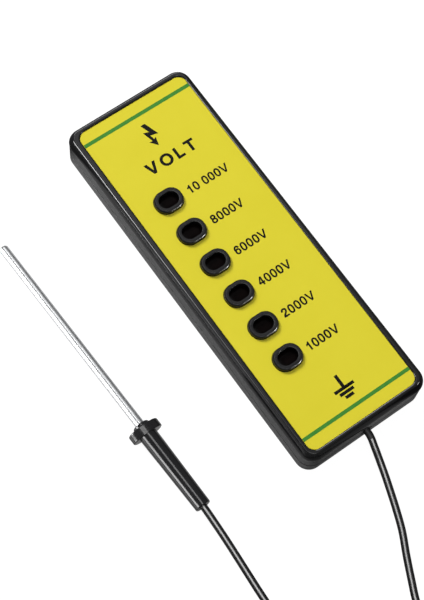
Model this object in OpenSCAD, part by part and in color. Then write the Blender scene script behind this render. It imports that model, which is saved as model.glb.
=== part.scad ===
// Hand-held fence voltage tester: a slim two-shell housing with a column of
// six lamp windows, a yellow face label, a contact plate on the top end and a
// ground probe on a flexible lead. Millimetres. The tester lies on its rear
// face: z = 0 is that face, +Y points to the contact end, +Z out of the label.

/* [Housing] */
// Width over the bezel
body_w = 54.6; // [54:0.2:55.2]
// Length over the bezel
body_l = 155.3; // [154.5:0.2:156.1]
// Height from the rear face to the top of the rim
body_h = 16; // [15.8:0.1:16.6]
// Corner radius of the bezel in plan
corner_r = 5.6; // [5.2:0.1:6.2]
// Width of the bezel's rounded shoulder
shoulder_w = 2.2; // [2:0.1:2.4]
// Rounding of the rear cover's lower edge
base_fillet = 0.9; // [0.5:0.1:1.2]
// Height of the ledge under the bezel
step_z = 11.8; // [11.6:0.1:12.2]
// How far the lower wall stands in from the bezel
body_inset = 0.15; // [0.1:0.05:0.3]
// Height of the joint between the two shells
parting_z = 6.4; // [6.2:0.1:6.5]
// Wall thickness
wall = 2.2; // [2:0.1:2.4]

/* [Label and lamp windows] */
// Label width
label_w = 47.7; // [46.5:0.1:47.9]
// Label length
label_l = 148.9; // [147:0.1:149.2]
// Label corner radius
label_r = 3.4; // [2.5:0.1:4]
// Label thickness
label_t = 0.3; // [0.2:0.05:0.4]
// Height of the rim above the label and the shoulder
rim_h = 0.5; // [0.4:0.1:0.6]
// Distance of the rim's outer edge from the edge of the bezel
rim_in = 1.9; // [1.7:0.1:2.1]
// Thickness of the front plate under the label
plate_t = 2; // [1.8:0.1:2]
// Distance of the lamp column from the centre line
lamp_x = -10; // [-11:0.25:-9]
// Height of the topmost lamp above the middle of the label
lamp_y0 = 33.1; // [32:0.1:34]
// Distance from lamp to lamp
lamp_pitch = 14.85; // [14.5:0.05:15.2]
// Outer width of a lamp collar
collar_w = 11.4; // [11:0.1:11.8]
// Outer height of a lamp collar
collar_l = 9.2; // [9:0.1:9.4]
// How far a collar stands above the label
collar_h = 1.6; // [1.2:0.1:2]
// Width of a lamp opening
window_w = 8.3; // [8:0.1:8.6]
// Height of a lamp opening
window_l = 5.8; // [5.5:0.1:6.1]

/* [Inside] */
// Circuit board width
board_w = 40; // [38:0.5:42]
// Circuit board length
board_l = 96; // [95:0.5:97]
// Underside of the circuit board
board_z = 3.8; // [3.7:0.1:3.9]
// Circuit board thickness
board_t = 1.6; // [1.5:0.1:1.7]
// Radius of a lamp's glass
bulb_r = 2.7; // [2.5:0.1:2.8]
// Length of a lamp's straight part
bulb_l = 3.3; // [3:0.1:3.4]

/* [Probe and lead] */
// Radius of the probe rod
rod_r = 1.8; // [1.6:0.05:1.9]
// Length of the rod from the middle of the guard to its tip
rod_tip = 89; // [85:1:92]
// Handle radius at the guard
handle_r0 = 3.5; // [3.2:0.1:3.55]
// Handle radius at the lead
handle_r1 = 3.05; // [2.8:0.05:3.2]
// Handle length from the middle of the guard
handle_l = 34.6; // [34.6:0.2:35.6]
// Width of the guard
guard_w = 12.4; // [12:0.1:13]
// Height of the guard
guard_h = 7.2; // [7:0.1:7.3]
// Thickness of the guard
guard_t = 3.4; // [3:0.1:3.6]
// Lead diameter
lead_d = 2.8; // [2.6:0.1:2.8]

/* [Hidden] */
$fn = 64;

label_top = body_h - rim_h;
seat_z = label_top - label_t;
plate_z = seat_z - plate_t;
low_w = body_w - 2 * body_inset;
low_l = body_l - 2 * body_inset;
low_r = corner_r - body_inset;
cav_w = low_w - 2 * wall;
cav_l = low_l - 2 * wall;
cav_r = 3.4;
tongue_t = 1.1;
tongue_z = parting_z + 1.2;
lip_z = label_top + collar_h;
board_top = board_z + board_t;
lamps = [for (i = [0 : 5]) [lamp_x, lamp_y0 - i * lamp_pitch]];
corners = [for (sx = [-1, 1], sy = [-1, 1]) [sx * 20, sy * 70.4]];
posts = [[-17.2, 42.6], [17.2, 42.6], [-17.2, -46.6], [17.2, -46.6]];
exit_x = -0.4;
res_x0 = 0.6;
res_x1 = 12.6;
series = [[16.7, 17], [16.7, -21]];
contact_z = 9.3;
rivet_x = 10;
strap_y = cav_l / 2 - 0.6;
pocket_y = low_l / 2 - 0.5;

// The probe's axis: a point d millimetres from the guard towards the tip
probe_c = [-65.5, -31.8, 3.65];
probe_dir = [-0.032, 1, -0.0205];
function probe_pt(d) = probe_c + d * probe_dir / norm(probe_dir);
probe_yaw = atan(0.032);
probe_pitch = atan(0.0205 / norm([0.032, 1]));

// The coil that the spare lead is wound into
coil_c = [-46, -152];
coil_r0 = 9;
coil_r1 = 22;

// Route of the lead from the clamp to the coil
exit_route = [[-0.4, -62, 6.4], [-0.4, -70, 6.4], [-0.4, -79, 6.4],
    [-1.3, -84, 5], [-2.3, -89, 2.8], [-3.6, -94, 1.6], [-5.5, -99.5, 1.4],
    [-7.9, -106, 1.4], [-11, -113.5, 1.4], [-15, -121, 1.4],
    [-19, -129, 1.4], [-22.5, -136.5, 1.4], [-24.5, -144, 1.7]];
// Route of the lead from inside the handle to the coil
probe_route = [probe_pt(10 - handle_l), probe_pt(5 - handle_l), probe_pt(-handle_l),
    [-64.5, -73, 4.2], [-64.6, -80, 3.4], [-64.8, -87, 2.4],
    [-65.1, -94, 1.7], [-65.5, -102, 1.4], [-65.8, -110.5, 1.4],
    [-66.1, -119.5, 1.4], [-66.3, -128.5, 1.4], [-66.5, -139.5, 1.4]];

// Smooth curve through a route
function spline(a, b, c, d, t) = 0.5 * (2 * b + (c - a) * t
    + (2 * a - 5 * b + 4 * c - d) * t * t + (3 * b - a - 3 * c + d) * t * t * t);
function smooth(p, n) = concat(
    [for (i = [0 : len(p) - 2], k = [0 : n - 1])
        spline(p[max(i - 1, 0)], p[i], p[i + 1], p[min(i + 2, len(p) - 1)], k / n)],
    [p[len(p) - 1]]);
function unit(v) = v / norm(v);
function tangent(p, i) = unit(p[min(i + 1, len(p) - 1)] - p[max(i - 1, 0)]);
function ring(c, t, r, s) =
    let (a = unit(cross(t, [0, 0, 1])), b = cross(a, t))
    [for (k = [0 : s - 1]) c + r * (cos((k + 0.5) * 360 / s) * a
        + sin((k + 0.5) * 360 / s) * b)];

// A tube of s sides swept along a route
module swept(route, r, s = 8, n = 1) {
    p = smooth(route, n);
    m = len(p);
    pts = [for (i = [0 : m - 1]) each ring(p[i], tangent(p, i), r, s)];
    sides = [for (i = [0 : m - 2], k = [0 : s - 1])
        [i * s + k, (i + 1) * s + k, (i + 1) * s + (k + 1) % s, i * s + (k + 1) % s]];
    caps = [[for (k = [0 : s - 1]) k],
        [for (k = [s - 1 : -1 : 0]) (m - 1) * s + k]];
    polyhedron(pts, concat(caps, sides));
}

// Rectangle with round corners
module rrect(w, l, r) {
    square([w - 2 * r, l], center = true);
    square([w, l - 2 * r], center = true);
    for (x = [-1, 1], y = [-1, 1])
        translate([x * (w / 2 - r), y * (l / 2 - r)]) circle(r);
}

// Points of a rounded edge, a wide and b high, from its foot to its top
function edge(a, b) = [for (k = [0 : 8]) [a * (cos(11.25 * k) - 1), b * sin(11.25 * k)]];

// Outline of a bar of width w and height b whose two upper edges are rounded
module round_bar(w, a, b) polygon(concat(
    [for (p = edge(a, b)) [w / 2 + p[0], p[1]]],
    [for (k = [8 : -1 : 0]) [-w / 2 - edge(a, b)[k][0], edge(a, b)[k][1]]]));

// Slab with round corners in plan and a rounded upper edge, from z = 0 to b
module round_slab(w, l, r, a, b) {
    rotate([90, 0, 0]) linear_extrude(l - 2 * r, center = true) round_bar(w, a, b);
    rotate([90, 0, 90]) linear_extrude(w - 2 * r, center = true) round_bar(l, a, b);
    for (x = [-1, 1], y = [-1, 1])
        translate([x * (w / 2 - r), y * (l / 2 - r), 0])
            rotate_extrude() polygon(concat([[0, 0]],
                [for (p = edge(a, b)) [r + p[0], p[1]]], [[0, b]]));
}

// A cylinder along +Y that starts at p
module rod_y(p, r, h) translate(p) rotate([-90, 0, 0]) cylinder(r = r, h = h);

// A wire that runs along +X or +Y from a body's end and then down through the board
module bent_wire(p, d, run, r) {
    e = p + run * d;
    hull_dir = d[0] != 0 ? [0, d[0] > 0 ? 90 : -90, 0] : [d[1] > 0 ? -90 : 90, 0, 0];
    translate(p) rotate(hull_dir) cylinder(r = r, h = run, $fn = 24);
    translate(e) sphere(r, $fn = 24);
    translate([e[0], e[1], board_z - 0.8]) cylinder(r = r, h = e[2] - board_z + 0.8, $fn = 24);
}

module collar() {
    translate([0, 0, plate_z + 0.6]) linear_extrude(lip_z - 0.9 - plate_z - 0.6)
        rrect(collar_w, collar_l, 4.3);
    translate([0, 0, lip_z - 0.9]) round_slab(collar_w, collar_l, 4.3, 0.9, 0.9);
}

module front_housing() color("#1b1b1d") difference() {
    union() {
        difference() {
            union() {
                translate([0, 0, step_z])
                    round_slab(body_w, body_l, corner_r, shoulder_w, label_top - step_z);
                translate([0, 0, step_z]) linear_extrude(body_h - step_z)
                    rrect(body_w - 2 * rim_in, body_l - 2 * rim_in, corner_r - rim_in);
                translate([0, 0, parting_z]) linear_extrude(step_z - parting_z)
                    rrect(low_w, low_l, low_r);
            }
            translate([0, 0, seat_z]) linear_extrude(5)
                rrect(label_w + 0.2, label_l + 0.2, label_r + 0.1);
            translate([0, 0, parting_z - 1]) linear_extrude(plate_z - parting_z + 1)
                rrect(cav_w, cav_l, cav_r);
        }
        for (p = lamps) translate(p) collar();
        for (p = corners) translate([p[0], p[1], 8]) cylinder(r = 3.2, h = plate_z - 7.5);
        for (p = posts) translate([p[0], p[1], board_top])
            cylinder(r = 2.5, h = plate_z - board_top + 0.5);
    }
    for (p = lamps) translate([p[0], p[1], plate_z - 1]) linear_extrude(10)
        rrect(window_w, window_l, 2.8);
    for (p = corners) translate([p[0], p[1], 7]) cylinder(r = 1.35, h = 5);
    for (p = posts) translate([p[0], p[1], board_top - 1]) cylinder(r = 1.1, h = 6.6);
    rod_y([exit_x, -body_l / 2 - 2, parting_z], 2.55, 8);
    translate([-15.1, pocket_y, contact_z - 2.3]) cube([30.2, 5, 4.6]);
    for (s = [-1, 1]) rod_y([s * rivet_x, cav_l / 2 - 2, contact_z], 1.25, 6);
}

module rear_cover() color("#1d1d1f") difference() {
    union() {
        difference() {
            union() {
                translate([0, 0, base_fillet]) mirror([0, 0, 1])
                    round_slab(low_w, low_l, low_r, base_fillet, base_fillet);
                translate([0, 0, base_fillet]) linear_extrude(parting_z - base_fillet)
                    rrect(low_w, low_l, low_r);
                translate([0, 0, parting_z]) linear_extrude(tongue_z - parting_z)
                    rrect(cav_w - 0.2, cav_l - 0.2, cav_r - 0.1);
            }
            translate([0, 0, wall]) linear_extrude(10)
                rrect(cav_w - 0.2 - 2 * tongue_t, cav_l - 0.2 - 2 * tongue_t, cav_r - 1.2);
        }
        for (p = corners) translate([p[0], p[1], 1]) cylinder(r = 3.2, h = 6.9);
        translate([exit_x - 8, -69, wall - 0.5]) cube([16, 7, 4.85 - wall + 0.5]);
        for (s = [-1, 1]) translate([exit_x + s * 5.6, -65.5, wall - 0.5])
            cylinder(r = 2.4, h = 7.9 - wall + 0.5);
        for (x = [-1, 1], y = [-30, 0, 30])
            translate([x * 22.2 - 0.6, y - 0.6, wall - 0.5]) cube([1.2, 1.2, 4]);
    }
    for (p = corners) {
        translate([p[0], p[1], -1]) cylinder(r = 2.6, h = 2.8);
        translate([p[0], p[1], -1]) cylinder(r = 1.5, h = 10);
    }
    for (s = [-1, 1]) translate([exit_x + s * 5.6, -65.5, 4]) cylinder(r = 1.1, h = 6);
    rod_y([exit_x, -body_l / 2 - 2, parting_z], 2.55, 8);
}

module front_label() color("#d9cc39") translate([0, 0, seat_z]) linear_extrude(label_t)
    difference() {
        rrect(label_w, label_l, label_r);
        for (p = lamps) translate(p) rrect(collar_w + 0.3, collar_l + 0.3, 4.4);
    }

module lamp_windows() color("#140606") for (p = lamps) translate(p) {
    translate([0, 0, plate_z - 1]) linear_extrude(1) rrect(10.6, 8.2, 3.9);
    translate([0, 0, plate_z]) linear_extrude(label_top - 0.6 - plate_z)
        rrect(window_w - 0.2, window_l - 0.2, 2.7);
}

module neon_bulbs() color("#dfe6e8", 0.5) for (p = lamps) translate([p[0], p[1], board_top + 0.3])
    difference() {
        rotate_extrude() polygon(concat([[0, 0], [bulb_r, 0]],
            [for (a = [0 : 10 : 80]) [bulb_r * cos(a), bulb_l + bulb_r * sin(a)]],
            [[0, bulb_l + bulb_r]]));
        rotate_extrude() polygon(concat([[0, 1.2], [bulb_r - 0.5, 1.2]],
            [for (a = [0 : 10 : 80]) [(bulb_r - 0.5) * cos(a), bulb_l + (bulb_r - 0.5) * sin(a)]],
            [[0, bulb_l + bulb_r - 0.5]]));
        for (s = [-1, 1]) translate([s * 0.9, 0, -1]) cylinder(r = 0.45, h = 4, $fn = 24);
    }

module neon_electrodes() color("#b9bcc0") for (p = lamps, s = [-1, 1])
    translate([p[0] + s * 0.9, p[1], board_z - 0.8]) cylinder(r = 0.4, h = 7, $fn = 24);

module circuit_board() color("#b08d4c") difference() {
    translate([0, 0, board_z]) linear_extrude(board_t) translate([0, -2]) rrect(board_w, board_l, 1.5);
    for (p = posts) translate([p[0], p[1], 0]) cylinder(r = 1.2, h = 20);
    for (p = lamps, s = [-1, 1]) translate([p[0] + s * 0.9, p[1], 0]) cylinder(r = 0.5, h = 20, $fn = 24);
    for (p = lamps, x = [res_x0, res_x1]) translate([x, p[1], 0]) cylinder(r = 0.45, h = 20, $fn = 24);
    for (p = series, s = [-1, 1]) translate([p[0], p[1] + s * 11.5, 0]) cylinder(r = 0.45, h = 20, $fn = 24);
    translate([0, 43, 0]) cylinder(r = 0.7, h = 20, $fn = 24);
    translate([exit_x, -46, 0]) cylinder(r = 0.75, h = 20, $fn = 24);
}

// A resistor body along Z from -l / 2 to l / 2, a little fuller at its ends
module resistor(l, r) rotate_extrude() polygon([[0, -l / 2], [r - 0.5, -l / 2],
    [r, -l / 2 + 0.5], [r, -l / 2 + 2], [r - 0.3, -l / 2 + 2.5], [r - 0.3, l / 2 - 2.5],
    [r, l / 2 - 2], [r, l / 2 - 0.5], [r - 0.5, l / 2], [0, l / 2]]);

module divider_resistors() color("#8fb3c8") for (p = lamps)
    translate([(res_x0 + res_x1) / 2, p[1], board_top + 1.9]) rotate([0, 90, 0]) resistor(9, 1.6);

module series_resistors() color("#7a4a3a") for (p = series)
    translate([p[0], p[1], board_top + 2.6]) rotate([90, 0, 0]) resistor(18, 2.3);

module resistor_leads() color("#c3c5c8") {
    for (p = lamps, s = [-1, 1])
        bent_wire([(res_x0 + res_x1) / 2 + s * 4.5, p[1], board_top + 1.9], [s, 0, 0], 1.5, 0.35);
    for (p = series, s = [-1, 1])
        bent_wire([p[0], p[1] + s * 9, board_top + 2.6], [0, s, 0], 2.5, 0.35);
}

module board_screws() color("#c8c9cb") for (p = posts) translate([p[0], p[1], 0]) difference() {
    union() {
        translate([0, 0, board_z - 1.5]) cylinder(r = 1.9, h = 1.5);
        translate([0, 0, board_z]) cylinder(r = 1, h = 6.4);
    }
    for (a = [0, 90]) rotate(a) translate([-1.1, -0.25, board_z - 2]) cube([2.2, 0.5, 1.2]);
}

module housing_screws() color("#c8c9cb") for (p = corners) translate([p[0], p[1], 0]) difference() {
    union() {
        translate([0, 0, 0.3]) cylinder(r = 2.3, h = 1.5);
        translate([0, 0, 1.8]) cylinder(r = 1.25, h = 9.8);
    }
    for (a = [0, 90]) rotate(a) translate([-1.4, -0.3, -0.7]) cube([2.8, 0.6, 1.9]);
}

module fence_contact() color("#c9ccd0") difference() {
    translate([0, pocket_y + 1, contact_z]) rotate([90, 0, 0]) linear_extrude(1) rrect(30, 4.4, 1);
    for (s = [-1, 1]) rod_y([s * rivet_x, pocket_y - 1, contact_z], 1.25, 4);
}

module contact_rivets() color("#b5b8bc") for (s = [-1, 1]) {
    rod_y([s * rivet_x, strap_y - 0.8, contact_z], 1.55, 0.8);
    rod_y([s * rivet_x, strap_y, contact_z], 1.2, pocket_y + 1 - strap_y);
    translate([s * rivet_x, pocket_y + 1, contact_z]) rotate([-90, 0, 0])
        rotate_extrude() polygon([[0, 0], [2, 0], [1.9, 0.2], [1.5, 0.4], [0, 0.45]]);
}

module contact_strap() color("#c9a64a") difference() {
    translate([0, cav_l / 2, contact_z]) rotate([90, 0, 0]) linear_extrude(0.6) rrect(26, 3, 1);
    for (s = [-1, 1]) rod_y([s * rivet_x, strap_y - 1, contact_z], 1.25, 3);
}

module contact_wire() color("#b32020") {
    rod_y([0, 43, contact_z - 0.6], 0.55, strap_y - 43);
    translate([0, 43, contact_z - 0.6]) sphere(0.55, $fn = 24);
    translate([0, 43, board_z - 0.8]) cylinder(r = 0.55, h = contact_z + 0.2 - board_z, $fn = 24);
}

module lead_bush() color("#151516") difference() {
    union() {
        rod_y([exit_x, -low_l / 2 + 0.1, parting_z], 2.5, 3.5);
        rod_y([exit_x, -low_l / 2 + 3.6, parting_z], 3.5, 1.4);
    }
    rod_y([exit_x, -low_l / 2 - 1, parting_z], lead_d / 2 + 0.05, 8);
}

module lead_clamp() color("#2a2a2c") difference() {
    translate([exit_x, -65.5, 7.95]) linear_extrude(1.8) rrect(16.4, 5.4, 1.5);
    for (s = [-1, 1]) translate([exit_x + s * 5.6, -65.5, 0]) cylinder(r = 1.25, h = 20);
}

module clamp_screws() color("#c8c9cb") for (s = [-1, 1])
    translate([exit_x + s * 5.6, -65.5, 0]) difference() {
        union() {
            translate([0, 0, 4.6]) cylinder(r = 1, h = 5.15);
            translate([0, 0, 9.75]) cylinder(r = 1.9, h = 1.4);
        }
        for (a = [0, 90]) rotate(a) translate([-1.1, -0.25, 10.4]) cube([2.2, 0.5, 2]);
    }

module lead_core_tester() color("#b87333") {
    rod_y([exit_x, -62, parting_z], 0.6, 16);
    translate([exit_x, -46, parting_z]) sphere(0.6, $fn = 24);
    translate([exit_x, -46, board_z - 0.8]) cylinder(r = 0.6, h = parting_z - board_z + 0.8, $fn = 24);
}

module lead_exit_run() color("#121213") swept(exit_route, lead_d / 2);

module lead_coil() color("#121213") translate([coil_c[0], coil_c[1], 0.6]) rotate_extrude()
    polygon([[coil_r0 + 1, 0], [coil_r1 - 1, 0], [coil_r1, 1], [coil_r1, 4.8], [coil_r1 - 1, 5.8],
        [coil_r0 + 1, 5.8], [coil_r0, 4.8], [coil_r0, 1]]);

module lead_tie() color("#202022") translate([coil_c[0], coil_c[1] - (coil_r0 + coil_r1) / 2, 0]) {
    translate([0, 0, 3.5]) rotate([90, 0, 90]) linear_extrude(4, center = true) difference() {
        rrect(coil_r1 - coil_r0 + 1.8, 7, 1.3);
        rrect(coil_r1 - coil_r0 + 0.8, 6, 0.8);
    }
    translate([-2.6, -2.2, 7]) cube([5.2, 4.4, 2.4]);
}

// Placement of the probe: +Y along the rod, the guard's middle at the origin
module at_probe() translate(probe_c) rotate([-probe_pitch, 0, probe_yaw]) children();

module probe_rod() color("#c6c9cc") at_probe() difference() {
    union() {
        rod_y([0, 3, 0], rod_r, rod_tip - 0.6 - 3);
        translate([0, rod_tip - 0.6, 0]) rotate([-90, 0, 0]) cylinder(r1 = rod_r, r2 = rod_r - 0.5, h = 0.6);
        rod_y([0, -18, 0], 1.5, 21);
    }
    rod_y([0, -19, 0], 0.7, 7);
}

module probe_handle() color("#19191b") at_probe() difference() {
    union() {
        rotate([90, 0, 0]) rotate_extrude() polygon([[0, -2.9], [2.6, -2.9], [3.1, -2.7], [3.3, -2.2],
            [3.3, -0.5], [handle_r0, 0], [handle_r0, 1.5], [handle_r1, handle_l - 0.5],
            [handle_r1 - 0.15, handle_l - 0.15], [handle_r1 - 0.5, handle_l], [0, handle_l]]);
        translate([0, 1.4, 0]) rotate([90, 0, 0]) linear_extrude(guard_t) rrect(guard_w, guard_h, guard_h / 2 - 0.2);
    }
    rod_y([0, -24.2, 0], 1.55, 30);
    rod_y([0, -handle_l - 1, 0], lead_d / 2 + 0.1, handle_l + 1 - 24.2);
}

module crimp_sleeve() color("#d0b060") at_probe() difference() {
    rod_y([0, -23.6, 0], 1.5, 5.6);
    rod_y([0, -24, 0], 0.7, 7);
}

module lead_core_probe() color("#b87333") at_probe() rod_y([0, 10.05 - handle_l, 0], 0.6, handle_l - 23.05);

module lead_probe_run() color("#121213") swept(probe_route, lead_d / 2);

front_housing();
rear_cover();
front_label();
lamp_windows();
neon_bulbs();
neon_electrodes();
circuit_board();
divider_resistors();
series_resistors();
resistor_leads();
board_screws();
housing_screws();
fence_contact();
contact_rivets();
contact_strap();
contact_wire();
lead_bush();
lead_clamp();
clamp_screws();
lead_core_tester();
lead_exit_run();
lead_coil();
lead_tie();
probe_rod();
probe_handle();
crimp_sleeve();
lead_core_probe();
lead_probe_run();
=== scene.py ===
import math

import bmesh
import bpy
from mathutils import Matrix, Vector
from mathutils.geometry import delaunay_2d_cdt


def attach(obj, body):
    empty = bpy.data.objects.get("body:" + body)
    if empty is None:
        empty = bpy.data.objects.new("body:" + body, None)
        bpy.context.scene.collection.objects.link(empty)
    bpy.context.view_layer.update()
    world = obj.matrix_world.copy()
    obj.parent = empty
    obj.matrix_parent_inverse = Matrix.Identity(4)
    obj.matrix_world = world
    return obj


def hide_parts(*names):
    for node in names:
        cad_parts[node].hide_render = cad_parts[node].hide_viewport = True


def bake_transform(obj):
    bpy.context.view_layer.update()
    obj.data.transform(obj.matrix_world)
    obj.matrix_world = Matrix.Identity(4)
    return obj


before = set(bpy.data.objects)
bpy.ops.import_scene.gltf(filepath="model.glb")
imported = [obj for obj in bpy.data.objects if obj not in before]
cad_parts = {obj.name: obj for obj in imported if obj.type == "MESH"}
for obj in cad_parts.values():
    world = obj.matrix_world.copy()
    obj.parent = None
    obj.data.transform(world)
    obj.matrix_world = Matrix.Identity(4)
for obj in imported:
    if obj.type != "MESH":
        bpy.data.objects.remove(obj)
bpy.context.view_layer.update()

scene = bpy.context.scene
scene.view_settings.view_transform = "Standard"
scene.view_settings.look = "None"

MM = 0.001


# ---------------------------------------------------------------- camera

cam_data = bpy.data.cameras.new("camera")
cam_data.sensor_width = 36.0
cam_data.lens = 95.858
cam_data.clip_start = 0.01
cam_data.clip_end = 50.0
cam = bpy.data.objects.new("camera", cam_data)
scene.collection.objects.link(cam)
cam.matrix_world = Matrix((
    (0.8115672, 0.5284168, -0.2492678, -0.1640076),
    (-0.5815028, 0.7719294, -0.2568648, -0.1566943),
    (0.0566854, 0.3534129, 0.9337484, 0.5567509),
    (0.0, 0.0, 0.0, 1.0)))
scene.camera = cam


# ---------------------------------------------------------------- mesh tools
# Meshes are made in millimetres and scaled to metres when they are sealed.

def rrect(w, l, r, n=12, c=(0.0, 0.0)):
    """Rectangle with round corners, counter-clockwise, n + 1 points a corner."""
    r = min(r, w / 2, l / 2)
    pts = []
    for sx, sy, a0 in ((1, -1, -90), (1, 1, 0), (-1, 1, 90), (-1, -1, 180)):
        for k in range(n + 1):
            a = math.radians(a0 + 90.0 * k / n)
            pts.append((c[0] + sx * (w / 2 - r) + r * math.cos(a),
                        c[1] + sy * (l / 2 - r) + r * math.sin(a)))
    return pts


def circle(r, n=32, c=(0.0, 0.0)):
    return [(c[0] + r * math.cos(2 * math.pi * k / n), c[1] + r * math.sin(2 * math.pi * k / n))
            for k in range(n)]


def at_z(pts, z):
    return [(x, y, z) for x, y in pts]


def inside(p, poly):
    hit = False
    n = len(poly)
    for i in range(n):
        (x0, y0), (x1, y1) = poly[i], poly[(i + 1) % n]
        if (y0 > p[1]) != (y1 > p[1]) and p[0] < (x1 - x0) * (p[1] - y0) / (y1 - y0) + x0:
            hit = not hit
    return hit


class Build:
    """A mesh in the making."""

    def __init__(self):
        self.bm = bmesh.new()

    def loop(self, pts):
        return [self.bm.verts.new(p) for p in pts]

    def bridge(self, a, b, mat=0):
        n = len(a)
        for i in range(n):
            f = self.bm.faces.new((a[i], a[(i + 1) % n], b[(i + 1) % n], b[i]))
            f.material_index = mat

    def loft(self, loops, mats=None, start=False, end=False):
        """Joins loops of points one after the other; returns the first and last loop's vertices."""
        made = [self.loop(p) for p in loops]
        for i in range(len(made) - 1):
            self.bridge(made[i], made[i + 1], mats[i] if mats else 0)
        if start:
            self.cap(made[0], mats[0] if mats else 0)
        if end:
            self.cap(made[-1], mats[-1] if mats else 0)
        return made[0], made[-1]

    def onward(self, first, loops, mat=0, end=False):
        """Goes on from a loop of vertices through loops of points."""
        last = first
        for p in loops:
            new = self.loop(p)
            self.bridge(last, new, mat)
            last = new
        if end:
            self.cap(last, mat)
        return last

    def cap(self, loop, mat=0):
        f = self.bm.faces.new(loop)
        f.material_index = mat

    def plane(self, outer, holes, mat=0):
        """Fills the flat region between an outer loop and holes, all at one height."""
        verts, edges = [], []
        for lp in [outer] + list(holes):
            k = len(verts)
            verts += lp
            edges += [(k + i, k + (i + 1) % len(lp)) for i in range(len(lp))]
        flat = [Vector((v.co.x, v.co.y)) for v in verts]
        rings = [[(v.co.x, v.co.y) for v in lp] for lp in [outer] + list(holes)]
        out = delaunay_2d_cdt(flat, edges, [], 0, 1e-6)
        back = [verts[o[0]] for o in out[3]]
        for face in out[2]:
            m = sum((out[0][i] for i in face), Vector((0, 0))) / len(face)
            if inside(m, rings[0]) and not any(inside(m, r) for r in rings[1:]):
                f = self.bm.faces.new([back[i] for i in face])
                f.material_index = mat

    def object(self, name):
        bmesh.ops.remove_doubles(self.bm, verts=self.bm.verts[:], dist=1e-4)
        bmesh.ops.recalc_face_normals(self.bm, faces=self.bm.faces[:])
        me = bpy.data.meshes.new(name)
        self.bm.to_mesh(me)
        self.bm.free()
        o = bpy.data.objects.new(name, me)
        scene.collection.objects.link(o)
        return o


def evaluated(o):
    """Puts the object's modifiers into its mesh."""
    dg = bpy.context.evaluated_depsgraph_get()
    me = bpy.data.meshes.new_from_object(o.evaluated_get(dg))
    o.modifiers.clear()
    old = o.data
    o.data = me
    me.name = o.name
    bpy.data.meshes.remove(old)


def boolean(o, cutter, op="DIFFERENCE"):
    m = o.modifiers.new("cut", "BOOLEAN")
    m.operation = op
    m.solver = "EXACT"
    m.object = cutter
    evaluated(o)
    me = cutter.data
    bpy.data.objects.remove(cutter, do_unlink=True)
    bpy.data.meshes.remove(me)


def seal(o, mats, sharp=34.0, weighted=True):
    """Shades, scales to metres and gives the materials."""
    bm = bmesh.new()
    bm.from_mesh(o.data)
    for e in bm.edges:
        e.smooth = not (len(e.link_faces) == 2 and e.calc_face_angle(0.0) > math.radians(sharp))
    for f in bm.faces:
        f.smooth = True
    bm.to_mesh(o.data)
    bm.free()
    if weighted:
        m = o.modifiers.new("normals", "WEIGHTED_NORMAL")
        m.keep_sharp = True
        m.weight = 50
        evaluated(o)
    o.data.transform(Matrix.Scale(MM, 4))
    index = [p.material_index for p in o.data.polygons]
    o.data.materials.clear()
    for m in mats:
        o.data.materials.append(m)
    for p, i in zip(o.data.polygons, index):
        p.material_index = min(i, len(mats) - 1)
    o.data.update()
    return o


def finish_piece(o, body, slot, *nodes):
    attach(o, body)
    if nodes:
        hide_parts(*nodes)
    return o


def lathe(b, profile, origin, axis, n=32, start=True, end=True, mat=0):
    """Turns (radius, distance along the axis) points about an axis."""
    a = Vector(axis).normalized()
    u = a.cross(Vector((0, 0, 1)))
    u = Vector((1, 0, 0)) if u.length < 1e-6 else u.normalized()
    w = u.cross(a)
    o = Vector(origin)
    loops = [[tuple(o + a * d + u * (r * math.cos(2 * math.pi * k / n))
                    + w * (r * math.sin(2 * math.pi * k / n))) for k in range(n)]
             for r, d in profile]
    return b.loft(loops, None, start, end) if not mat else b.loft(loops, [mat] * len(loops), start, end)


def arc(c, rx, rz, a0, a1, n):
    """Points (inset, z) on an arc; angle 0 points up, 90 points out (to less inset)."""
    return [(c[0] - rx * math.sin(math.radians(a0 + (a1 - a0) * k / n)),
             c[1] + rz * math.cos(math.radians(a0 + (a1 - a0) * k / n))) for k in range(n + 1)]


def catmull(p, n):
    """Smooth curve through points."""
    out = []
    for i in range(len(p) - 1):
        a, b = Vector(p[max(i - 1, 0)]), Vector(p[i])
        c, d = Vector(p[i + 1]), Vector(p[min(i + 2, len(p) - 1)])
        for k in range(n):
            t = k / n
            out.append(0.5 * (2 * b + (c - a) * t + (2 * a - 5 * b + 4 * c - d) * t * t
                              + (3 * b - a - 3 * c + d) * t ** 3))
    out.append(Vector(p[-1]))
    return out


# ---------------------------------------------------------------- materials

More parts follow.
